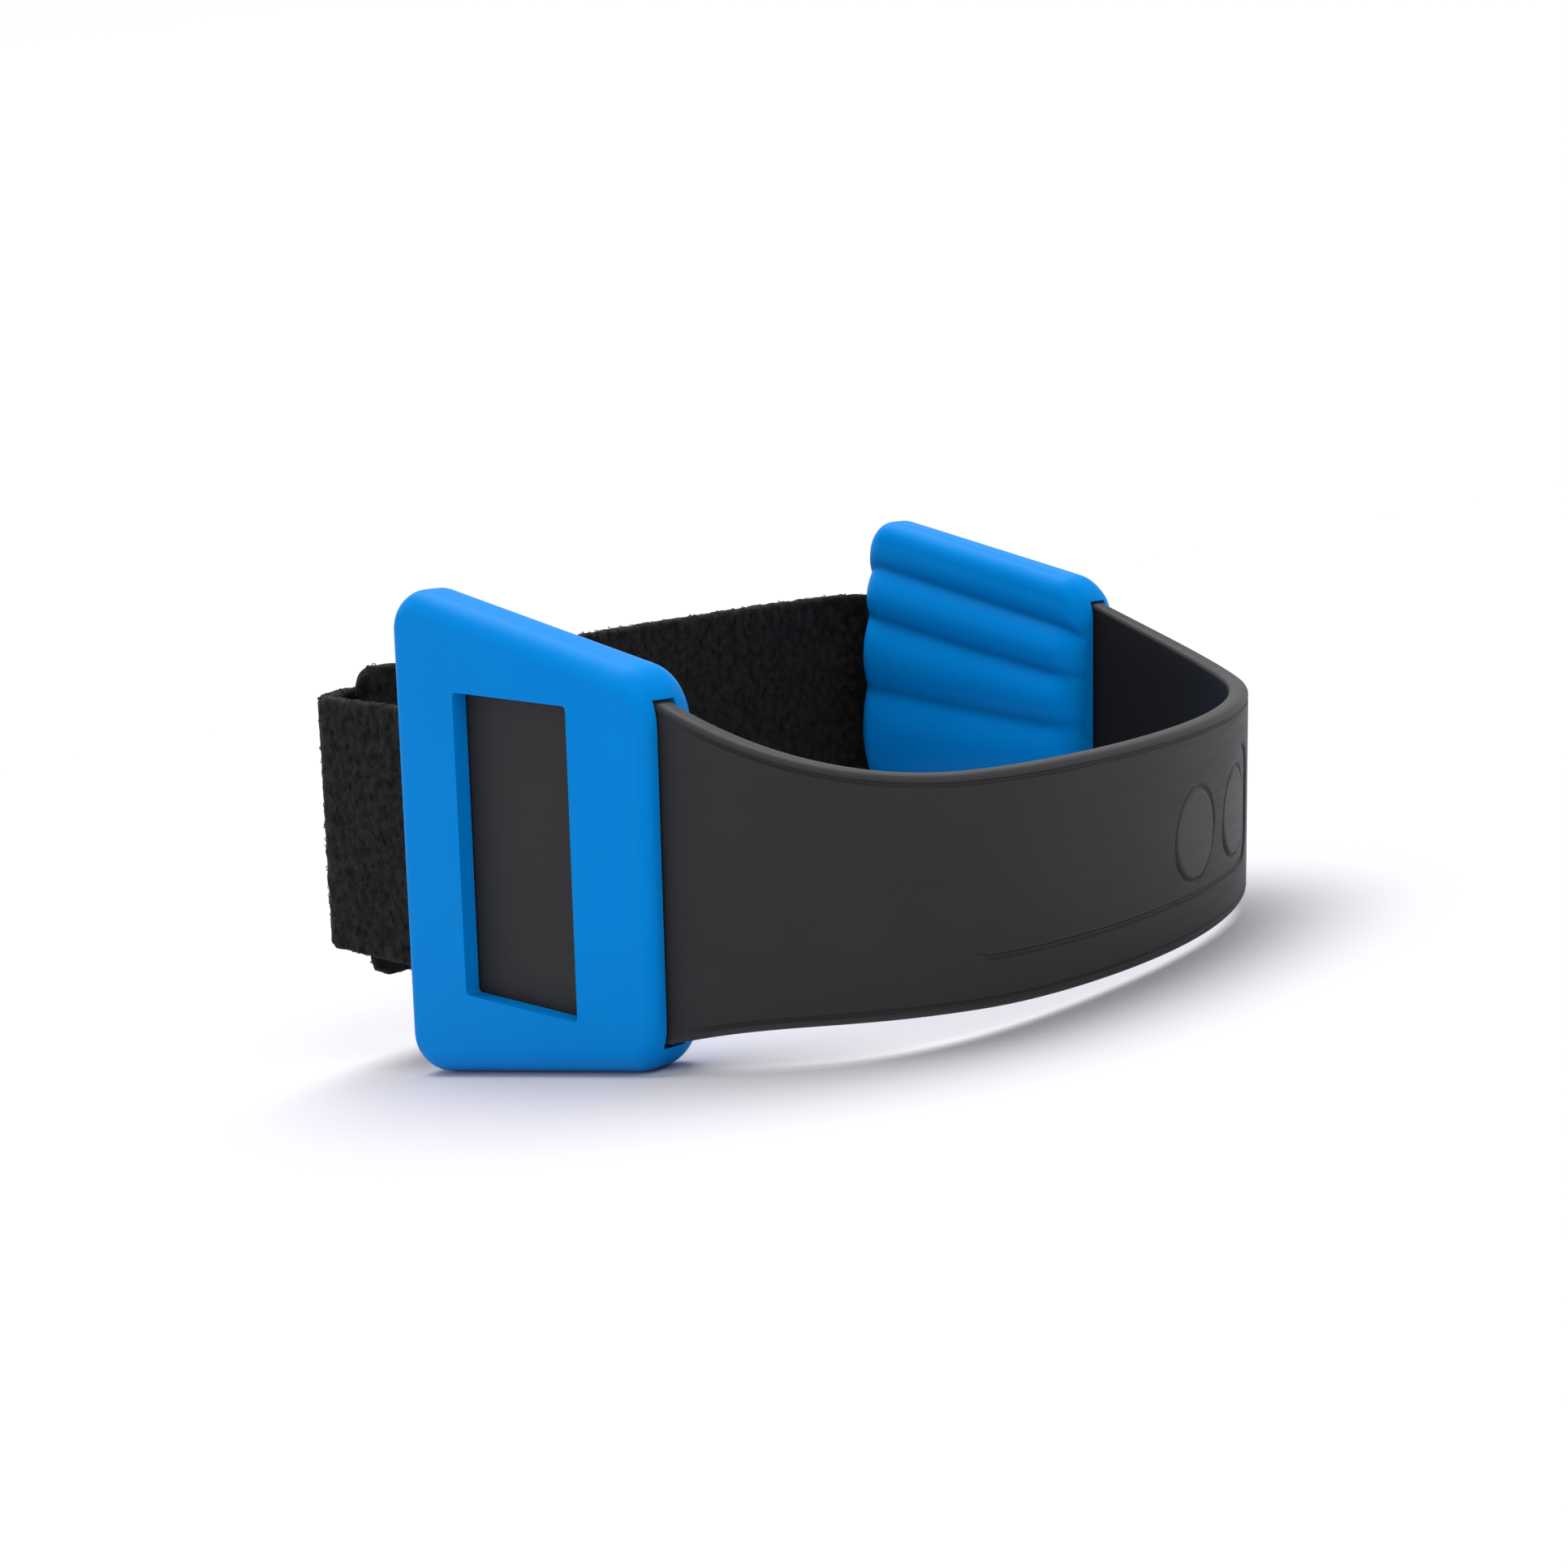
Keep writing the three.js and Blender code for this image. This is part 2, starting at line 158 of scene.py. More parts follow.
class BandSettings(bpy.types.PropertyGroup):
    thickness: length_property("Thickness", "Band thickness", 2.2, 0.5)
    waist: length_property("Waist", "Height at the narrow part", 22.7, 5)
    flare: length_property("Flare", "Length over which the band widens", 32.0, 1)
    edge_radius: length_property("Edge radius", "Rounding of the band's edges", 0.6, 0.1)
    reach: length_property("Reach", "How far the bend stands out", 37.7, 5)
    lean: length_property("Lean", "How far the bend sits to the front", 17.3)
    groove_depth: length_property("Groove depth", "Depth of the moulded edge line", 0.2)
    groove_place: length_property("Groove place", "From the band's edge to its moulded line", 0.95)
    panel_start: length_property("Panel start", "From the front pad to the sunk panel", 30.0)
    panel_length: length_property("Panel length", "Length of the sunk panel", 57.0, 1)
    panel_height: length_property("Panel height", "Height of the sunk panel", 12.8, 1)
    panel_depth: length_property("Panel depth", "Depth of the sunk panel", 0.2)
    outline_depth: length_property("Outline depth", "Depth of the line round the panel", 0.3)
    disc_radius: length_property("Disc radius", "Radius of the two plain discs", 4.9, 0.5)
    colour: colour_property("Colour", "Moulded band colour", (0.0255, 0.0255, 0.0262, 1.0))


class PileSettings(bpy.types.PropertyGroup):
    thickness: length_property("Thickness", "Strap and tab thickness", 2.0, 0.5)
    edge_radius: length_property("Edge radius", "Rounding of the strap's edges", 0.8, 0.1)
    strap_width: length_property("Strap width", "Width of the long strap", 36.0, 5)
    strap_corner: length_property("Strap corner", "Corner rounding of the strap's end", 2.6, 0.1)
    strap_turn: length_property("Strap turn", "Size of the strap's bend by the back pad", 6.0, 1)
    strap_sag: length_property("Strap sag", "How far the strap hangs below the middle", 2.2)
    strap_end: length_property("Strap end", "From the tab's corner to the strap's end", 4.6)
    tab_width: length_property("Tab width", "Width of the closing tab", 28.8, 5)
    tab_reach: length_property("Tab reach", "How far the tab leaves the front pad", 18.6, 1)
    tab_turn: length_property("Tab turn", "Size of the tab's bend", 3.4, 0.5)
    tab_overlap: length_property("Tab overlap", "How far the tab lies on the strap", 36.0, 5)
    tab_corner: length_property("Tab corner", "Corner rounding of the tab's end", 4.0, 0.1)
    tab_sag: length_property("Tab sag", "How far the tab hangs below the middle", 1.2)
    loop_radius: length_property("Loop size", "Radius of one loop of pile", 0.27, 0.05)
    fibre_radius: length_property("Fibre size", "Radius of one fibre", 0.055, 0.005)
    loops: bpy.props.IntProperty(
        name="Loops", description="Loops of pile on a square metre", default=720000, min=0)
    colour: colour_property("Colour", "Pile colour", (0.0030, 0.0029, 0.0028, 1.0))


class StageSettings(bpy.types.PropertyGroup):
    floor_radius: length_property("Floor radius", "Radius of the pale floor", 4000.0, 500)
    lens: bpy.props.FloatProperty(
        name="Lens", description="Focal length", default=55.9, unit="CAMERA")
    colour: colour_property("Floor colour", "Pale floor colour", (0.665, 0.65, 0.69, 1.0))


class StrapSettings(bpy.types.PropertyGroup):
    pad: bpy.props.PointerProperty(type=PadSettings)
    band: bpy.props.PointerProperty(type=BandSettings)
    pile: bpy.props.PointerProperty(type=PileSettings)
    stage: bpy.props.PointerProperty(type=StageSettings)


def settings():
    return bpy.context.scene.elbow_strap


def heading(angle):
    return Vector((math.cos(angle), math.sin(angle), 0.0))


def ramp(value, low, high):
    """0 below low and 1 above high, eased between them."""
    t = np.clip((np.asarray(value) - low) / (high - low), 0.0, 1.0)
    return t * t * (3.0 - 2.0 * t)


# Shapes shared by the pieces.

class Pad:
    """Where a pad stands, and the heights and faces that the band and the strap follow."""

    def __init__(self, which):
        s = settings()
        self.p = s.pad
        side = -1 if which == "front" else 1
        self.end = Vector((-side * self.p.stagger / 2, side * self.p.span / 2, 0.0))
        self.angle = -side * self.p.toe
        self.along = heading(self.angle)
        self.slot_half = s.band.thickness / 2 + GAP
        self.outer_face = self.slot_half + self.p.outer_plate
        self.plate_end = self.p.stop_rail + GAP
        self.facing = math.pi if which == "front" else 0.0

    def point(self, from_wide):
        return self.end + self.along * (from_wide - self.p.length)

    def height(self, from_wide):
        share = from_wide / self.p.length
        return self.p.wide_height + (self.p.narrow_height - self.p.wide_height) * share

    def placing(self):
        turn = Matrix.Rotation(self.angle, 4, "Z") @ Matrix.Rotation(self.facing, 4, "X")
        return Matrix.Translation(self.point(0.0)) @ turn


def drawn_in(distance, radius):
    """How far a rounded corner lies inside its square one, this far from the end."""
    left = max(radius - distance, 0.0)
    return radius - math.sqrt(max(radius * radius - left * left, 0.0))


def rounding_steps(radius, count):
    """Distances from an end that follow its rounding in even turns."""
    return [radius * (1 - math.cos(math.pi / 2 * i / count)) for i in range(count + 1)]


def bezier(start, leaving, leave, end, arriving, arrive, count=160):
    """Points on a curve that leaves and arrives in the given directions."""
    first = start + leaving * leave
    second = end - arriving * arrive
    out = []
    for i in range(count + 1):
        t = i / count
        u = 1 - t
        near = start * u ** 3 + first * (3 * u * u * t)
        out.append(near + second * (3 * u * t * t) + end * t ** 3)
    return out


class Path:
    """A line through close points, read by the distance along it."""

    def __init__(self, *stretches):
        points = [stretches[0][0]]
        for stretch in stretches:
            points += [p for p in stretch if (p - points[-1]).length > 1e-7]
        self.points = np.array([tuple(p) for p in points])
        steps = np.linalg.norm(np.diff(self.points, axis=0), axis=1)
        self.at = np.concatenate([[0.0], np.cumsum(steps)])
        self.length = float(self.at[-1])

    def point(self, distance):
        return np.stack([np.interp(distance, self.at, self.points[:, k]) for k in range(3)], -1)

    def across(self, distance, reach=0.6 * MM):
        """The level direction at right angles to the line."""
        ahead = self.point(np.clip(distance + reach, 0, self.length))
        behind = self.point(np.clip(distance - reach, 0, self.length))
        t = ahead - behind
        n = np.stack([-t[:, 1], t[:, 0], np.zeros(len(t))], -1)
        return n / np.linalg.norm(n, axis=1)[:, None]


def skin(name, rings):
    """One closed skin over equal rings of points, with one flat face over each end."""
    count = rings.shape[1]
    verts = rings.reshape(-1, 3)
    total = len(rings)
    faces = []
    for r in range(total - 1):
        for i in range(count):
            j = (i + 1) % count
            a = r * count
            faces.append((a + i, a + j, a + count + j, a + count + i))
    last = (total - 1) * count
    faces.append(tuple(reversed(range(count))))
    faces.append(tuple(range(last, last + count)))
    mesh = bpy.data.meshes.new(name)
    mesh.from_pydata([tuple(v) for v in verts], [], faces)
    mesh.validate()
    face_outwards(mesh)
    return mesh


def face_outwards(mesh):
    bm = bmesh.new()
    bm.from_mesh(mesh)
    bmesh.ops.recalc_face_normals(bm, faces=bm.faces)
    bm.to_mesh(mesh)
    bm.free()
    mesh.update()


def add_object(name, mesh):
    piece = bpy.data.objects.new(name, mesh)
    bpy.context.scene.collection.objects.link(piece)
    return piece


def bake(piece):
    """Applies the live modifiers, so that only a plain mesh is left."""
    depsgraph = bpy.context.evaluated_depsgraph_get()
    mesh = bpy.data.meshes.new_from_object(piece.evaluated_get(depsgraph))
    old = piece.data
    piece.modifiers.clear()
    piece.data = mesh
    bpy.data.meshes.remove(old)
    return mesh


def smooth(mesh, angle=math.radians(38)):
    mesh.polygons.foreach_set("use_smooth", [True] * len(mesh.polygons))
    mesh.set_sharp_from_angle(angle=angle)
    mesh.update()


def vertex_points(mesh):
    flat = np.empty(len(mesh.vertices) * 3)
    mesh.vertices.foreach_get("co", flat)
    return flat.reshape(-1, 3)


def set_attribute(mesh, name, values):
    layer = mesh.attributes.new(name, "FLOAT", "POINT")
    layer.data.foreach_set("value", np.asarray(values, dtype=np.float32))


def settle(piece, matrix):
    """Puts the place into the mesh, so that the object stays at the origin."""
    piece.data.transform(matrix)
    piece.data.update()


def hand_over(piece, node, material):
    piece.data.materials.clear()
    piece.data.materials.append(material)
    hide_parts(node)
    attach(piece, "root")


# Pads.

def rib_profile(lobe):
    """0 on a rib's ridge, near 1 in a narrow rounded valley."""
    past = max(lobe - VALLEY_ROUNDING, 0.0)
    return lobe * lobe - past * past / (1 - VALLEY_ROUNDING)


def valley_heights(pad, from_wide, flat):
    """Heights of the valleys, drawn in towards the corners where the pad's end rounds off."""
    straight = pad.height(from_wide) / 2 - pad.p.edge_radius
    along = from_wide / pad.p.length
    heights = []
    for wide, narrow in RIB_VALLEYS:
        share = wide + (narrow - wide) * along
        heights.append(share * (straight + (flat - straight) * abs(share) ** 3))
    return heights


def rib_points(pad, from_wide, flat, steps):
    """Heights down the ribbed face, and how near a valley each is."""
    marks = [flat] + valley_heights(pad, from_wide, flat) + [-flat]
    last = len(marks) - 2
    points = []
    for rib in range(last + 1):
        whole = 0 < rib < last
        count = steps if whole else steps // 2
        for i in range(count):
            t = i / count
            near = abs(2 * t - 1) if whole else (t if rib == 0 else 1 - t)
            points.append((marks[rib] + (marks[rib + 1] - marks[rib]) * t, near))
    return points + [(-flat, 0.0)]


def pad_ring(pad, from_wide, arc=10, rib_steps=32):
    """The pad's outline across its length: top edge, ribs, lower edge and outer face."""
    p = pad.p
    from_end = min(from_wide, p.length - from_wide)
    half = pad.height(from_wide) / 2 - drawn_in(from_end, p.corner_radius)
    outer = pad.outer_face - drawn_in(from_end, p.outer_end_radius)
    left = max(1 - from_end / p.rib_end_radius, 0.0)
    swell = RIB_END_SWELL + (1 - RIB_END_SWELL) * math.sqrt(1 - left * left)

    def depth(to_edge, to_valley):
        crown = p.crown * (1 - to_edge * to_edge)
        ribbed = p.inner_plate + crown - p.rib_relief * rib_profile(to_valley)
        return pad.slot_half + p.end_lip + (ribbed - p.end_lip) * swell

    radius = min(p.edge_radius, (outer + depth(1.0, 0.0)) / 2)
    flat = half - radius
    corner_depth = depth(flat / half, 0.0)
    over = []
    for i in range(arc + 1):
        a = math.pi / 2 * i / arc
        over.append((outer - radius * (1 - math.cos(a)), flat + radius * math.sin(a)))
    for i in range(arc):
        a = math.pi / 2 * i / arc
        over.append((radius * (1 - math.sin(a)) - corner_depth, flat + radius * math.cos(a)))
    heights = rib_points(pad, from_wide, flat, rib_steps)
    ribs = [(-depth(abs(z) / half, near), z) for z, near in heights]
    under = [(y, -z) for y, z in reversed(over)]
    return [(from_wide, y, z) for y, z in over + ribs + under]


def box_mesh(name, corners, low, high):
    """A prism: a flat outline of (x, z) corners, given thickness along y."""
    count = len(corners)
    verts = [(x, low, z) for x, z in corners] + [(x, high, z) for x, z in corners]
    faces = [tuple(range(count)), tuple(reversed(range(count, 2 * count)))]
    faces += [(i, i + count, (i + 1) % count + count, (i + 1) % count) for i in range(count)]
    mesh = bpy.data.meshes.new(name)
    mesh.from_pydata(verts, [], faces)
    face_outwards(mesh)
    return mesh


def rounded_corners(x0, x1, half, radius, steps=6):
    """The outline of a rectangle with rounded corners."""
    out = []
    centres = ((x1 - radius, half - radius, 0), (x0 + radius, half - radius, 1),
               (x0 + radius, radius - half, 2), (x1 - radius, radius - half, 3))
    for cx, cz, quarter in centres:
        for i in range(steps + 1):
            a = math.pi / 2 * (quarter + i / steps)
            out.append((cx + radius * math.cos(a), cz + radius * math.sin(a)))
    return out


def cut(piece, meshes):
    """Takes the meshes out of the piece."""
    cutters = []
    for mesh in meshes:
        cutter = add_object(mesh.name, mesh)
        change = piece.modifiers.new("cut", "BOOLEAN")
        change.operation = "DIFFERENCE"
        change.solver = "EXACT"
        change.object = cutter
        cutters.append(cutter)
    bake(piece)
    for cutter in cutters:
        mesh = cutter.data
        bpy.data.objects.remove(cutter)
        bpy.data.meshes.remove(mesh)


def painted_valley_shade(pad, x, y, z):
    """Where shade is painted into the creases: 1 at the bottom of a valley between two ribs and 0
    away from it.
    """
    if y > -pad.slot_half or not 0 < x < pad.p.length:
        return 0.0
    flat = pad.height(x) / 2 - pad.p.edge_radius
    away = min(abs(z - height) for height in valley_heights(pad, x, flat))
    return math.exp(-(away / VALLEY_PAINTED_SHADE) ** 2)


def pad_stations(p):
    """Distances from the wide end, close together where the ends round off."""
    near = []
    for radius, steps in ((p.corner_radius, 12), (p.rib_end_radius, 10), (p.outer_end_radius, 5)):
        near += rounding_steps(radius, steps)
    near = sorted(set(round(n, 7) for n in near))
    near = [n for i, n in enumerate(near) if i == 0 or n - near[i - 1] > 0.02 * MM]
    middle = list(np.linspace(near[-1], p.length - near[-1], 9))[1:-1]
    return near + middle + [p.length - n for n in reversed(near)]


def pad_cutters(pad):
    """The slot for the band's plate, the mouth for the strap or the tab, and the window."""
    p = pad.p
    pile = settings().pile
    past = p.length + GAP
    wide = pad.height(p.stop_rail) / 2 - p.edge_wall
    narrow = pad.height(past) / 2 - p.edge_wall
    slot = [(p.stop_rail, -wide), (past, -narrow), (past, narrow), (p.stop_rail, wide)]
    mouth_half = pile.strap_width / 2 + pile.strap_sag + GAP
    mouth = [(-GAP, -mouth_half), (pad.plate_end, -mouth_half),
             (pad.plate_end, mouth_half), (-GAP, mouth_half)]
    window_end = p.window_from_wide + p.window_length
    window = rounded_corners(p.window_from_wide, window_end, p.window_height / 2, 0.5 * MM)
    return [
        box_mesh("slot_cutter", slot, -pad.slot_half, pad.slot_half),
        box_mesh("mouth_cutter", mouth, -pad.slot_half, pad.slot_half),
        box_mesh("window_cutter", window, 0.0, pad.outer_face + GAP),
    ]


def soften_cuts(piece, width):
    soften = piece.modifiers.new("rim", "BEVEL")
    soften.width = width
    soften.segments = 3
    soften.limit_method = "ANGLE"
    soften.angle_limit = math.radians(50)
    soften.use_clamp_overlap = True
    bake(piece)


def mark_pad_painted_light(mesh, pad):
    """Keeps where a pale sheen is painted on the rim of the outer face, and where shade is painted
    into the valleys between the ribs.
    """
    points = vertex_points(mesh)
    from_end = np.minimum(points[:, 0], pad.p.length - points[:, 0])
    from_edge = pad.height(points[:, 0]) / 2 - np.abs(points[:, 2])
    outside = ramp(points[:, 1], 0.0, pad.outer_face)
    rim = 1 - ramp(np.minimum(from_end, from_edge), 0.4 * MM, 3.2 * MM)
    set_attribute(mesh, "rim", rim * outside)
    set_attribute(mesh, "valley", [painted_valley_shade(pad, *point) for point in points])


def make_pad(which, material):
    pad = Pad(which)
    rings = np.array([pad_ring(pad, x) for x in pad_stations(pad.p)])
    piece = add_object(which + "_pad_moulding", skin(which + "_pad_moulding", rings))
    cut(piece, pad_cutters(pad))
    soften_cuts(piece, pad.p.rim)
    smooth(piece.data, angle=math.radians(45))
    mark_pad_painted_light(piece.data, pad)
    flatten_normals(piece)
    settle(piece, RESTING @ pad.placing())
    hand_over(piece, which + "_pad", material)
    return piece


def flatten_normals(piece):
    """Keeps the large flat faces flat beside their rounded edges."""
    change = piece.modifiers.new("even", "WEIGHTED_NORMAL")
    change.keep_sharp = True
    bake(piece)


# Band.

def band_path():
    s = settings()
    b = s.band
    front, back = Pad("front"), Pad("back")
    apex = Vector((b.reach, -b.lean, 0.0))
    across = heading(math.pi / 2)
    return Path(
        [front.point(front.plate_end), front.end],
        bezier(front.end, front.along, FRONT_BEND * (apex.x - front.end.x),
               apex, across, FRONT_APEX_BEND * (apex.y - front.end.y)),
        bezier(apex, across, BACK_APEX_BEND * (back.end.y - apex.y),
               back.end, -back.along, BACK_BEND * (apex.x - back.end.x)),
        [back.end, back.point(back.plate_end)],
    )


def band_half(pad, from_end):
    """Half the band's height: a plate inside the pad, then a flare that narrows to the waist."""
    b = settings().band
    from_wide = pad.plate_end + from_end
    plate = pad.height(min(from_wide, pad.p.length)) / 2 - pad.p.edge_wall - GAP
    if from_wide < pad.p.length:
        return plate
    ease = max(1 - (from_wide - pad.p.length) / b.flare, 0.0)
    return b.waist / 2 + (plate - b.waist / 2) * ease * ease


def even_rows(count):
    """Heights spaced evenly over a face of a given half height."""
    return lambda flat: np.linspace(-flat, flat, count)


def ribbon_rings(path, distances, thickness, radius, halves, middle, outer, inner, arc=5):
    """Rings across a strip on edge: the outer face, its top edge, the inner face, its lower edge.
    Gives the rings, the height of each point and the way outwards at each ring."""
    middles = path.point(distances)
    outwards = -path.across(distances)
    rings = []
    heights = []
    for i in range(len(distances)):
        half, thick, r = halves[i], thickness[i] / 2, min(radius, thickness[i] / 2 * 0.98)
        ys, zs = [], []
        for z in outer(half - r):
            ys.append(thick)
            zs.append(z)
        for k in range(1, 2 * arc):
            a = math.pi / 2 * k / arc
            side = 1 if k <= arc else -1
            ys.append(side * (thick - r) + r * math.cos(a) if k != arc else 0.0)
            zs.append(half - r + r * math.sin(a))
        for z in reversed(inner(half - r)):
            ys.append(-thick)
            zs.append(z)
        for k in range(1, 2 * arc):
            a = math.pi + math.pi / 2 * k / arc
            side = -1 if k <= arc else 1
            ys.append(side * (thick - r) + r * math.cos(a) if k != arc else 0.0)
            zs.append(-(half - r) + r * math.sin(a))
        ys, zs = np.array(ys), np.array(zs)
        ring = middles[i] + outwards[i] * ys[:, None]
        ring[:, 2] = zs + middle
        rings.append(ring)
        heights.append(zs)
    return np.array(rings), np.array(heights), outwards


def band_rows(flat):
    """Heights on the band's outer face, close together where the panel and the edge lines lie."""
    line = settings().band.panel_height / 2
    inside = np.arange(-line + 0.7 * MM, line - 0.69 * MM, 0.2 * MM)
    at_line = line + np.arange(-0.5, 0.51, 0.1) * MM
    outside = np.linspace(line + 0.75 * MM, flat - 0.9 * MM, 7)
    at_edge = flat - np.linspace(0.75, 0.0, 9) * MM
    upper = np.concatenate([at_line, outside, at_edge])
    return np.concatenate([-upper[::-1], inside, upper])


def panel_inside(s, z, start, length, height, radius):
    """Signed distance into a rounded rectangle on the band's outer face: positive inside."""
    cx, hx, hz = start + length / 2, length / 2, height / 2
    dx = np.abs(s - cx) - (hx - radius)
    dz = np.abs(z) - (hz - radius)
    outside = np.hypot(np.maximum(dx, 0), np.maximum(dz, 0))
    return radius - (outside + np.minimum(np.maximum(dx, dz), 0))


def groove(away, half_width):
    """1 on a moulded line and 0 beside it."""
    return 1 - ramp(np.abs(away), 0.3 * half_width, half_width)


def band_stations(path, plate):
    """Distances along the band, closest together where the discs and the panel's far end lie."""
    b = settings().band
    start = plate + b.panel_start
    discs_from = start + b.panel_length / 2
    panel_end = start + b.panel_length + 1 * MM
    distances = np.unique(np.concatenate([
        np.linspace(0.0, plate, 12),
        np.arange(plate, start - 1 * MM, 1.0 * MM),
        np.arange(start - 1 * MM, discs_from, 0.3 * MM),
        np.arange(discs_from, panel_end, 0.16 * MM),
        np.arange(panel_end, path.length - plate, 1.0 * MM),
        np.linspace(path.length - plate, path.length, 12),
    ]).round(7))
    return distances[np.concatenate([[True], np.diff(distances) > 0.05 * MM])]


def sunk_panel(along, z):
    """Depth of the panel and its discs below the outer face, and where the discs lie."""
    b = settings().band
    panel_end = b.panel_start + b.panel_length
    inside_panel = panel_inside(
        along, z, b.panel_start, b.panel_length, b.panel_height, PANEL_CORNER)
    low = ramp(-z, -0.1 * b.panel_height, 0.3 * b.panel_height)
    far_end = ramp(along, b.panel_start + 0.86 * b.panel_length, panel_end)
    shown = np.maximum(low * ramp(along, b.panel_start, b.panel_start + 2 * MM), far_end)
    sink = b.panel_depth * ramp(inside_panel, 0, 0.4 * MM) * shown
    sink = sink + b.outline_depth * groove(inside_panel, OUTLINE_HALF) * shown
    discs = np.zeros_like(z)
    for place in DISC_PLACES:
        away = np.hypot(along - b.panel_start - place, z)
        inside = 1 - ramp(away, b.disc_radius - 0.3 * MM, b.disc_radius)
        rim = DISC_LINE_DEPTH * groove(away - b.disc_radius, OUTLINE_HALF)
        sink = sink * (1 - 0.9 * inside) + rim
        discs = np.maximum(discs, inside)
    return sink, discs


def edge_lines(along, z, halves, free_length):
    """Depth of the lines along both edges, which fade out beside the pads."""
    b = settings().band
    free = ramp(along, 1 * MM, 6 * MM) * ramp(free_length - along, 1 * MM, 6 * MM)
    from_line = halves[:, None] - np.abs(z) - b.groove_place
    return b.groove_depth * groove(from_line, EDGE_LINE_HALF) * free


def make_band(material):
    b = settings().band
    path = band_path()
    front = Pad("front")
    plate = front.p.length - front.plate_end
    distances = band_stations(path, plate)
    from_end = np.minimum(distances, path.length - distances)
    halves = np.array([band_half(front, d) for d in from_end])
    thickness = np.full(len(distances), b.thickness)
    rows = len(band_rows(b.waist / 2))
    rings, heights, outwards = ribbon_rings(
        path, distances, thickness, b.edge_radius, halves, 0.0, band_rows, even_rows(INNER_ROWS))
    along = np.repeat((distances - plate)[:, None], rows, 1)
    z = heights[:, :rows]
    sink, discs = sunk_panel(along, z)
    sink = sink + edge_lines(along, z, halves, path.length - 2 * plate)
    for r in range(len(distances)):
        rings[r, :rows] -= outwards[r] * sink[r][:, None]
    mesh = skin("moulded_band", rings)
    disc = np.zeros(heights.shape)
    disc[:, :rows] = discs
    # Painted light on the band: rim is a painted highlight along its top and lower edges, and
    # inner is painted shade over its inner face.
    rim = 1 - ramp(halves[:, None] - np.abs(heights), 0.3 * MM, 0.8 * MM)
    inner = np.zeros(heights.shape)
    inner_start = rows + (heights.shape[1] - rows - INNER_ROWS) // 2
    inner[:, inner_start:inner_start + INNER_ROWS] = 1.0
    for name, values in (("disc", disc), ("rim", rim), ("inner", inner)):
        set_attribute(mesh, name, values.reshape(-1))
    smooth(mesh)
    piece = add_object("moulded_band", mesh)
    settle(piece, RESTING)
    hand_over(piece, "band", material)
    return piece


# Strap and tab.

def strap_run():
    """The strap's long stretch, from its bend by the back pad to its end beside the tab."""
    s = settings().pile
    down = heading(-math.pi / 2)
    turned = Pad("back").point(0.0) + Vector((-s.strap_turn, -s.strap_turn, 0.0))
    end = Pad("front").point(-s.tab_reach) + Vector((s.thickness + GAP, s.strap_end, 0.0))
    reach = STRAP_BEND * (turned.y - end.y)
    return bezier(turned, down, reach, end, down, reach)


def strap_path():
    s = settings().pile
    back = Pad("back")
    mouth = back.point(0.0)
    run = strap_run()
    return Path(
        [back.point(back.p.stop_rail), mouth],
        bezier(mouth, -back.along, s.strap_turn / 2, run[0], heading(-math.pi / 2),
               s.strap_turn / 2, count=60),
        run,
    )


def tab_path():
    """Out of the front pad, round the corner, then a lap over the strap's outer face."""
    s = settings().pile
    front = Pad("front")
    run = Path(strap_run())
    along = run.length - np.arange(0.0, s.tab_overlap + 0.5 * MM, 1.0 * MM)
    lapped = run.point(along) - run.across(along) * (s.thickness + GAP)
    lapped = [Vector(p) for p in lapped]
    start = front.point(s.tab_turn - s.tab_reach)
    return Path(
        [front.point(front.p.stop_rail), start],
        bezier(start, -front.along, s.tab_turn / 2, lapped[0], heading(math.pi / 2),
               s.tab_turn / 2, count=60),
        lapped,
    )


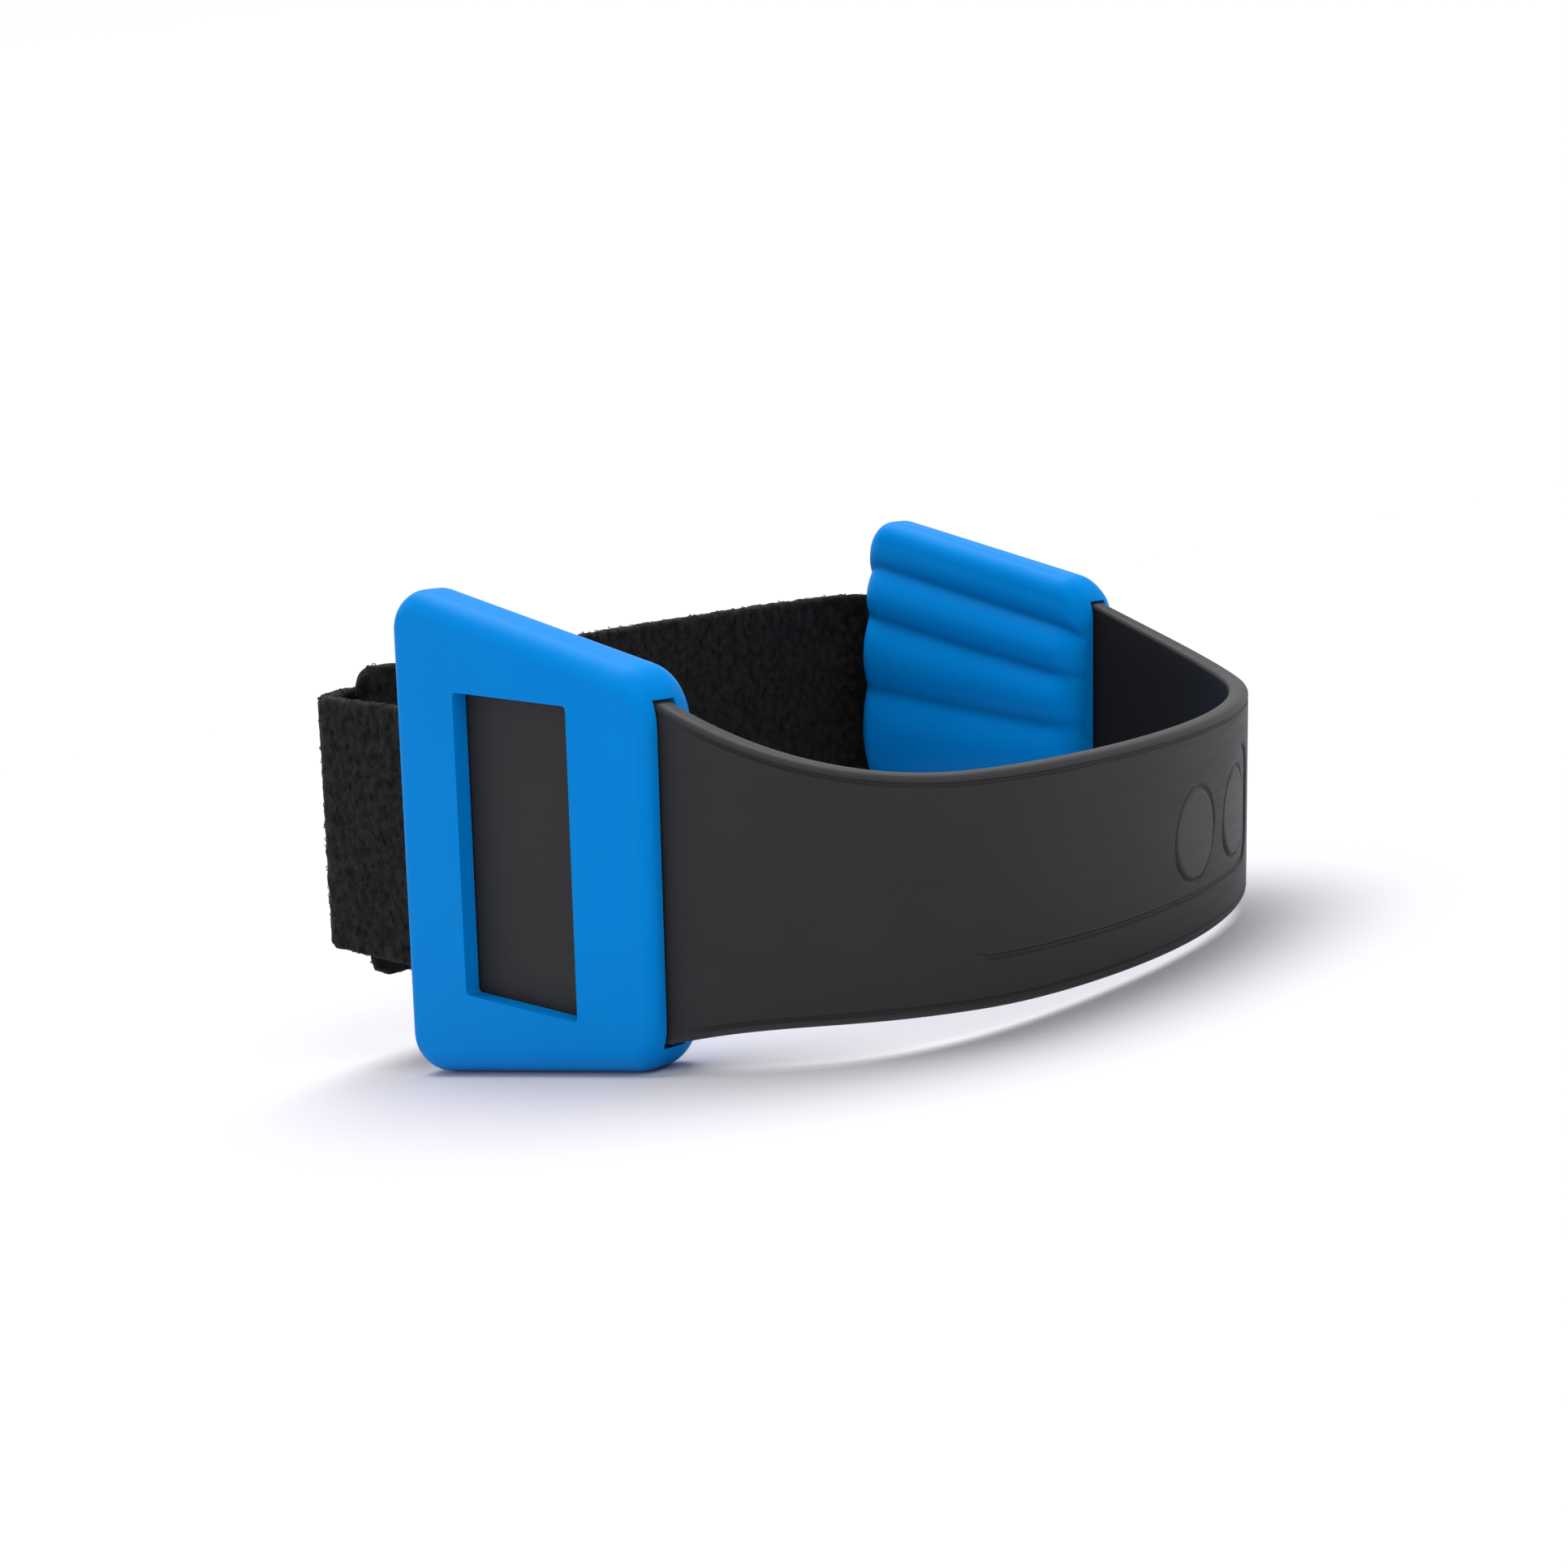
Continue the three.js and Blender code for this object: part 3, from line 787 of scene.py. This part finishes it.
def pile_tree():
    """Scatters small leaning loops of fibre over a surface."""
    tree = bpy.data.node_groups.new("loop_pile", "GeometryNodeTree")
    face = tree.interface
    face.new_socket("Geometry", in_out="INPUT", socket_type="NodeSocketGeometry")
    for label, kind, value in (
        ("Loops per Square Metre", "NodeSocketFloat", 500000.0),
        ("Loop Radius", "NodeSocketFloat", 0.0004),
        ("Fibre Radius", "NodeSocketFloat", 0.00005),
        ("Seed", "NodeSocketInt", 11),
    ):
        socket = face.new_socket(label, in_out="INPUT", socket_type=kind)
        socket.default_value = value
    face.new_socket("Pile", in_out="INPUT", socket_type="NodeSocketMaterial")
    face.new_socket("Geometry", in_out="OUTPUT", socket_type="NodeSocketGeometry")
    nodes, links = tree.nodes, tree.links
    source = nodes.new("NodeGroupInput")
    spread = nodes.new("GeometryNodeDistributePointsOnFaces")
    arc = nodes.new("GeometryNodeCurveArc")
    arc.inputs["Resolution"].default_value = 5
    arc.inputs["Sweep Angle"].default_value = math.radians(250)
    arc.inputs["Start Angle"].default_value = math.radians(-35)
    ring = nodes.new("GeometryNodeCurvePrimitiveCircle")
    ring.inputs["Resolution"].default_value = 3
    tube = nodes.new("GeometryNodeCurveToMesh")
    stand = nodes.new("GeometryNodeTransform")
    stand.inputs["Translation"].default_value = (0.0, 0.0, -LOOP_ROOT)
    stand.inputs["Rotation"].default_value = (math.pi / 2, 0.0, 0.0)
    lean = nodes.new("FunctionNodeRandomValue")
    lean.data_type = "FLOAT_VECTOR"
    lean.inputs[0].default_value = (-LOOP_LEAN, -LOOP_LEAN, 0.0)
    lean.inputs[1].default_value = (LOOP_LEAN, LOOP_LEAN, math.tau)
    to_turn = nodes.new("FunctionNodeEulerToRotation")
    turn = nodes.new("FunctionNodeRotateRotation")
    turn.rotation_space = "LOCAL"
    size = nodes.new("FunctionNodeRandomValue")
    size.data_type = "FLOAT"
    size.inputs[2].default_value, size.inputs[3].default_value = LOOP_SCALES
    place = nodes.new("GeometryNodeInstanceOnPoints")
    real = nodes.new("GeometryNodeRealizeInstances")
    join = nodes.new("GeometryNodeJoinGeometry")
    paint = nodes.new("GeometryNodeSetMaterial")
    result = nodes.new("NodeGroupOutput")
    links.new(source.outputs["Geometry"], spread.inputs["Mesh"])
    links.new(source.outputs["Loops per Square Metre"], spread.inputs["Density"])
    links.new(source.outputs["Seed"], spread.inputs["Seed"])
    links.new(source.outputs["Loop Radius"], arc.inputs["Radius"])
    links.new(source.outputs["Fibre Radius"], ring.inputs["Radius"])
    links.new(arc.outputs["Curve"], tube.inputs["Curve"])
    links.new(ring.outputs["Curve"], tube.inputs["Profile Curve"])
    links.new(tube.outputs["Mesh"], stand.inputs["Geometry"])
    links.new(spread.outputs["Points"], place.inputs["Points"])
    links.new(stand.outputs["Geometry"], place.inputs["Instance"])
    links.new(lean.outputs[0], to_turn.inputs[0])
    links.new(spread.outputs["Rotation"], turn.inputs["Rotation"])
    links.new(to_turn.outputs[0], turn.inputs["Rotate By"])
    links.new(turn.outputs[0], place.inputs["Rotation"])
    links.new(size.outputs[1], place.inputs["Scale"])
    links.new(place.outputs["Instances"], real.inputs["Geometry"])
    links.new(source.outputs["Geometry"], join.inputs["Geometry"])
    links.new(real.outputs["Geometry"], join.inputs["Geometry"])
    links.new(join.outputs["Geometry"], paint.inputs["Geometry"])
    links.new(source.outputs["Pile"], paint.inputs["Material"])
    links.new(paint.outputs["Geometry"], result.inputs["Geometry"])
    return tree


def add_pile(piece, material, seed):
    """Covers the piece in loops of pile."""
    s = settings().pile
    tree = bpy.data.node_groups.get("loop_pile") or pile_tree()
    change = piece.modifiers.new("pile", "NODES")
    change.node_group = tree
    values = {
        "Loops per Square Metre": float(s.loops),
        "Loop Radius": s.loop_radius,
        "Fibre Radius": s.fibre_radius,
        "Seed": seed,
        "Pile": material,
    }
    for item in tree.interface.items_tree:
        if item.item_type == "SOCKET" and item.in_out == "INPUT" and item.name in values:
            change[item.identifier] = values[item.name]
    bake(piece)


def make_strip(name, node, path, width, corner, middle, material, seed):
    """A strip of webbing with a rounded, thinned free end, covered in pile."""
    s = settings().pile
    ends = rounding_steps(corner, 8)
    between = np.arange(ends[-1], path.length - ends[-1], 0.7 * MM)
    distances = np.unique(np.concatenate(
        [ends, between, [path.length - e for e in ends]]).round(7))
    distances = distances[np.concatenate([[True], np.diff(distances) > 0.02 * MM])]
    left = path.length - distances
    halves = np.array([width / 2 - drawn_in(d, corner) for d in left])
    thinned = 0.75 * (1 - np.minimum(left / (0.8 * MM), 1)) ** 2
    thickness = s.thickness * (1 - thinned)
    rows = even_rows(int(width / (0.75 * MM)))
    rings, _, _ = ribbon_rings(
        path, distances, thickness, s.edge_radius, halves, middle, rows, rows, arc=4)
    mesh = skin(name, rings)
    roughen(mesh, seed)
    mesh.polygons.foreach_set("use_smooth", [True] * len(mesh.polygons))
    piece = add_object(name, mesh)
    mesh.materials.append(material)
    add_pile(piece, material, seed)
    settle(piece, RESTING)
    hand_over(piece, node, material)
    return piece


def roughen(mesh, seed):
    """Lifts and lowers the pile in small curls."""
    points = vertex_points(mesh)
    normals = np.empty(len(mesh.vertices) * 3)
    mesh.vertices.foreach_get("normal", normals)
    normals = normals.reshape(-1, 3)
    moved = points.copy()
    for i, p in enumerate(points):
        at = Vector(p) * PILE_CURLS + Vector((seed, 0.0, 0.0))
        lift = noise.noise(at) + 0.5 * noise.noise(at * 2.3)
        moved[i] += normals[i] * PILE_LIFT * (lift - 0.3)
    mesh.vertices.foreach_set("co", moved.reshape(-1))
    mesh.update()


# Materials.

def principled(name):
    material = bpy.data.materials.new(name)
    material.use_nodes = True
    nodes = material.node_tree.nodes
    return material, nodes, material.node_tree.links, nodes["Principled BSDF"]


def noise_node(nodes, links, place, scale, detail=3.0, roughness=0.55, stretch=None):
    grain = nodes.new("ShaderNodeTexNoise")
    grain.inputs["Scale"].default_value = scale
    grain.inputs["Detail"].default_value = detail
    grain.inputs["Roughness"].default_value = roughness
    if stretch:
        mapping = nodes.new("ShaderNodeMapping")
        mapping.inputs["Scale"].default_value = stretch
        links.new(place.outputs["Object"], mapping.inputs["Vector"])
        links.new(mapping.outputs["Vector"], grain.inputs["Vector"])
    else:
        links.new(place.outputs["Object"], grain.inputs["Vector"])
    return grain.outputs["Fac"]


def spread_value(nodes, links, source, low, high):
    """Stretches the middle of a noise over the range from low to high."""
    change = nodes.new("ShaderNodeMapRange")
    change.inputs["From Min"].default_value = 0.3
    change.inputs["From Max"].default_value = 0.7
    change.inputs["To Min"].default_value = low
    change.inputs["To Max"].default_value = high
    links.new(source, change.inputs["Value"])
    return change.outputs["Result"]


def mix_colour(nodes, links, factor, first, second):
    mix = nodes.new("ShaderNodeMix")
    mix.data_type = "RGBA"
    links.new(factor, mix.inputs["Factor"])
    for socket, value in ((mix.inputs[6], first), (mix.inputs[7], second)):
        if hasattr(value, "is_linked"):
            links.new(value, socket)
        else:
            socket.default_value = value
    return mix.outputs[2]


def attribute_value(nodes, links, name, strength):
    """One of the piece's own attributes, times a strength."""
    read = nodes.new("ShaderNodeAttribute")
    read.attribute_name = name
    scale = nodes.new("ShaderNodeMath")
    scale.operation = "MULTIPLY"
    scale.inputs[1].default_value = strength
    links.new(read.outputs["Fac"], scale.inputs[0])
    return scale.outputs["Value"]


def bump(nodes, links, height, strength, distance, normal=None):
    node = nodes.new("ShaderNodeBump")
    node.inputs["Strength"].default_value = strength
    node.inputs["Distance"].default_value = distance
    links.new(height, node.inputs["Height"])
    if normal:
        links.new(normal, node.inputs["Normal"])
    return node.outputs["Normal"]


def shade(colour, factor, lift=0.0):
    """A lighter or darker form of a colour."""
    return tuple(min(c * factor + lift, 1.0) for c in colour[:3]) + (1.0,)


def moulded_blue(colour):
    material, nodes, links, shader = principled("moulded_blue")
    place = nodes.new("ShaderNodeTexCoord")
    broad = noise_node(nodes, links, place, scale=55.0, detail=2.0)
    base = mix_colour(nodes, links, broad, shade(colour, 0.93), shade(colour, 1.05))
    # Painted sheen: a paler film on the rounded rim of the outer face, standing in for its
    # highlight.
    rim = attribute_value(nodes, links, "rim", 0.32)
    base = mix_colour(nodes, links, rim, base, shade(colour, 0.95, 0.006))
    # Painted shade: the colour darkens in the creases between the ribs.
    valley = attribute_value(nodes, links, "valley", 0.5)
    base = mix_colour(nodes, links, valley, base, shade(colour, 0.55))
    links.new(base, shader.inputs["Base Color"])
    roughness = spread_value(nodes, links, broad, low=0.34, high=0.42)
    links.new(roughness, shader.inputs["Roughness"])
    soft = noise_node(nodes, links, place, scale=420.0)
    waves = bump(nodes, links, soft, strength=0.10, distance=0.10 * MM)
    fine = noise_node(nodes, links, place, scale=2600.0, detail=4.0)
    grain = bump(nodes, links, fine, strength=0.22, distance=0.03 * MM, normal=waves)
    links.new(grain, shader.inputs["Normal"])
    shader.inputs["Specular IOR Level"].default_value = 0.1
    shader.inputs["Specular Tint"].default_value = (0.02, 0.45, 1.0, 1.0)
    shader.inputs["IOR"].default_value = 1.25
    shader.inputs["Subsurface Weight"].default_value = 0.02
    shader.inputs["Subsurface Radius"].default_value = (0.0004, 0.001, 0.003)
    shader.inputs["Subsurface Scale"].default_value = 1.0
    return material


def moulded_charcoal(colour):
    material, nodes, links, shader = principled("moulded_charcoal")
    place = nodes.new("ShaderNodeTexCoord")
    broad = noise_node(nodes, links, place, scale=70.0)
    base = mix_colour(nodes, links, broad, shade(colour, 0.88), shade(colour, 1.14))
    streak = noise_node(
        nodes, links, place, scale=1.0, roughness=0.5, stretch=(120.0, 120.0, 1900.0))
    # disc gives the discs their own lighter tone; rim paints a highlight along the band's edges;
    # inner paints shade over the inner face.
    for name, strength, factor in (("disc", 0.75, 1.9), ("rim", 0.5, 2.2), ("inner", 0.9, 0.3)):
        where = attribute_value(nodes, links, name, strength)
        base = mix_colour(nodes, links, where, base, shade(colour, factor))
    links.new(base, shader.inputs["Base Color"])
    roughness = spread_value(nodes, links, streak, low=0.5, high=0.56)
    links.new(roughness, shader.inputs["Roughness"])
    drag = bump(nodes, links, streak, strength=0.015, distance=0.08 * MM)
    fine = noise_node(nodes, links, place, scale=2200.0, detail=4.0)
    grain = bump(nodes, links, fine, strength=0.25, distance=0.03 * MM, normal=drag)
    links.new(grain, shader.inputs["Normal"])
    shader.inputs["Specular IOR Level"].default_value = 0.13
    return material


def loop_pile(colour):
    material, nodes, links, shader = principled("loop_pile")
    place = nodes.new("ShaderNodeTexCoord")
    curls = noise_node(nodes, links, place, scale=900.0, detail=2.0, roughness=0.5)
    # Partly the pile's own speckle, partly painted highlight on the raised curls and painted shade
    # between them.
    lit_curls = spread_value(nodes, links, curls, low=0.0, high=1.0)
    base = mix_colour(nodes, links, lit_curls, shade(colour, 0.1), PILE_CURL_HIGHLIGHT)
    dust = noise_node(nodes, links, place, scale=90.0)
    dusty = spread_value(nodes, links, dust, low=0.0, high=0.25)
    base = mix_colour(nodes, links, dusty, base, PILE_DUST)
    links.new(base, shader.inputs["Base Color"])
    roughness = spread_value(nodes, links, curls, low=0.98, high=0.82)
    links.new(roughness, shader.inputs["Roughness"])
    lumps = bump(nodes, links, curls, strength=0.9, distance=0.4 * MM)
    links.new(lumps, shader.inputs["Normal"])
    shader.inputs["Specular IOR Level"].default_value = 0.1
    shader.inputs["Sheen Weight"].default_value = 0.03
    shader.inputs["Sheen Roughness"].default_value = 0.6
    return material


def pale_floor(colour):
    material, _, _, shader = principled("pale_floor")
    shader.inputs["Base Color"].default_value = colour
    shader.inputs["Roughness"].default_value = 0.9
    shader.inputs["Specular IOR Level"].default_value = 0.1
    return material


def finish_named(name, make, colour):
    """The named finish, made the first time that it is asked for."""
    return bpy.data.materials.get(name) or make(tuple(colour))


# Operators.

class ELBOWSTRAP_OT_pads(bpy.types.Operator):
    """Builds the two ribbed pads with their windows"""
    bl_idname = "elbow_strap.pads"
    bl_label = "Build pads"

    def execute(self, context):
        material = finish_named("moulded_blue", moulded_blue, settings().pad.colour)
        make_pad("front", material)
        make_pad("back", material)
        return {"FINISHED"}


class ELBOWSTRAP_OT_band(bpy.types.Operator):
    """Builds the moulded band with its edge lines, sunk panel and plain discs"""
    bl_idname = "elbow_strap.band"
    bl_label = "Build band"

    def execute(self, context):
        make_band(finish_named("moulded_charcoal", moulded_charcoal, settings().band.colour))
        return {"FINISHED"}


class ELBOWSTRAP_OT_closure(bpy.types.Operator):
    """Builds the loop-pile strap and the closing tab"""
    bl_idname = "elbow_strap.closure"
    bl_label = "Build strap and tab"

    def execute(self, context):
        s = settings().pile
        material = finish_named("loop_pile", loop_pile, s.colour)
        make_strip("pile_strap", "strap", strap_path(), s.strap_width, s.strap_corner,
                   middle=-s.strap_sag, material=material, seed=11)
        make_strip("pile_tab", "closing_tab", tab_path(), s.tab_width, s.tab_corner,
                   middle=-s.tab_sag, material=material, seed=23)
        return {"FINISHED"}


def studio_world(walls=1.01, ceiling=0.33):
    """A white room whose ceiling is dimmer than its walls, so that the overhead light leads."""
    world = bpy.data.worlds.new("studio")
    world.use_nodes = True
    nodes, links = world.node_tree.nodes, world.node_tree.links
    place = nodes.new("ShaderNodeTexCoord")
    split = nodes.new("ShaderNodeSeparateXYZ")
    links.new(place.outputs["Generated"], split.inputs["Vector"])
    fade = nodes.new("ShaderNodeMapRange")
    fade.inputs["From Min"].default_value = 0.25
    fade.inputs["From Max"].default_value = 0.8
    fade.inputs["To Min"].default_value = walls
    fade.inputs["To Max"].default_value = ceiling
    links.new(split.outputs["Z"], fade.inputs["Value"])
    backing = nodes["Background"]
    backing.inputs["Color"].default_value = (1.0, 1.0, 1.0, 1.0)
    links.new(fade.outputs["Result"], backing.inputs["Strength"])
    return world


def far_light(name, strength, spread, towards):
    """A wide soft light from far off, so that the whole floor is lit alike."""
    light = bpy.data.lights.new(name, "SUN")
    light.energy = strength
    light.angle = spread
    lamp = bpy.data.objects.new(name, light)
    bpy.context.scene.collection.objects.link(lamp)
    lamp.rotation_euler = (-towards).to_track_quat("-Z", "Y").to_euler()
    return lamp


def photo_camera(lens):
    """The photograph's viewpoint, fixed to the upright loop and tipped with it."""
    turn, pitch, roll = math.radians(44.973), math.radians(10.43), math.radians(1.34)
    away, height = 256.64 * MM, 51.28 * MM
    shift = Vector((1.55 * MM, 19.36 * MM, 0.0))
    place = Vector((away * math.sin(turn), -away * math.cos(turn), height)) - shift
    right = Vector((math.cos(turn), math.sin(turn), 0.0))
    ahead = Vector((-math.sin(turn) * math.cos(pitch), math.cos(turn) * math.cos(pitch),
                    -math.sin(pitch)))
    up = right.cross(ahead)
    rolled_right = right * math.cos(roll) - up * math.sin(roll)
    rolled_up = right * math.sin(roll) + up * math.cos(roll)
    matrix = Matrix((rolled_right, rolled_up, -ahead)).transposed().to_4x4()
    matrix.translation = place
    data = bpy.data.cameras.new("photo_camera")
    data.lens = lens
    data.sensor_width = 36.0
    data.clip_start = 0.005
    camera = bpy.data.objects.new("photo_camera", data)
    bpy.context.scene.collection.objects.link(camera)
    camera.matrix_world = RESTING @ matrix
    return camera


class ELBOWSTRAP_OT_stage(bpy.types.Operator):
    """Builds the pale floor, the soft lights and the camera"""
    bl_idname = "elbow_strap.stage"
    bl_label = "Build stage"

    def execute(self, context):
        s = settings().stage
        scene = context.scene
        bm = bmesh.new()
        bmesh.ops.create_circle(bm, cap_ends=True, segments=64, radius=s.floor_radius)
        mesh = bpy.data.meshes.new("floor")
        bm.to_mesh(mesh)
        bm.free()
        mesh.materials.append(pale_floor(tuple(s.colour)))
        floor = add_object("floor", mesh)
        scene.world = studio_world()
        far_light("overhead_light", strength=3.3, spread=math.radians(50),
                  towards=Vector((-0.3, 0.2, 1.0)))
        far_light("right_light", strength=0.5, spread=math.radians(24),
                  towards=Vector((0.8, -0.25, 0.75)))
        scene.view_settings.view_transform = "Standard"
        scene.camera = photo_camera(s.lens)
        return {"FINISHED"}


class ELBOWSTRAP_PT_panel(bpy.types.Panel):
    """Lists the strap's settings and its build steps"""
    bl_idname = "ELBOWSTRAP_PT_panel"
    bl_label = "Elbow strap"
    bl_space_type = "VIEW_3D"
    bl_region_type = "UI"
    bl_category = "Elbow strap"

    def draw(self, context):
        layout = self.layout
        s = context.scene.elbow_strap
        groups = ((s.pad, "elbow_strap.pads"), (s.band, "elbow_strap.band"),
                  (s.pile, "elbow_strap.closure"), (s.stage, "elbow_strap.stage"))
        for group, operator in groups:
            box = layout.box()
            for name in group.bl_rna.properties.keys():
                if name not in ("rna_type", "name"):
                    box.prop(group, name)
            box.operator(operator)


CLASSES = (
    PadSettings, BandSettings, PileSettings, StageSettings, StrapSettings,
    ELBOWSTRAP_OT_pads, ELBOWSTRAP_OT_band, ELBOWSTRAP_OT_closure, ELBOWSTRAP_OT_stage,
    ELBOWSTRAP_PT_panel,
)


def register():
    for cls in CLASSES:
        bpy.utils.register_class(cls)
    bpy.types.Scene.elbow_strap = bpy.props.PointerProperty(type=StrapSettings)


def unregister():
    del bpy.types.Scene.elbow_strap
    for cls in reversed(CLASSES):
        bpy.utils.unregister_class(cls)


def main():
    register()
    bpy.ops.elbow_strap.stage()
    bpy.ops.elbow_strap.pads()
    bpy.ops.elbow_strap.band()
    bpy.ops.elbow_strap.closure()


if __name__ == "__main__":
    main()
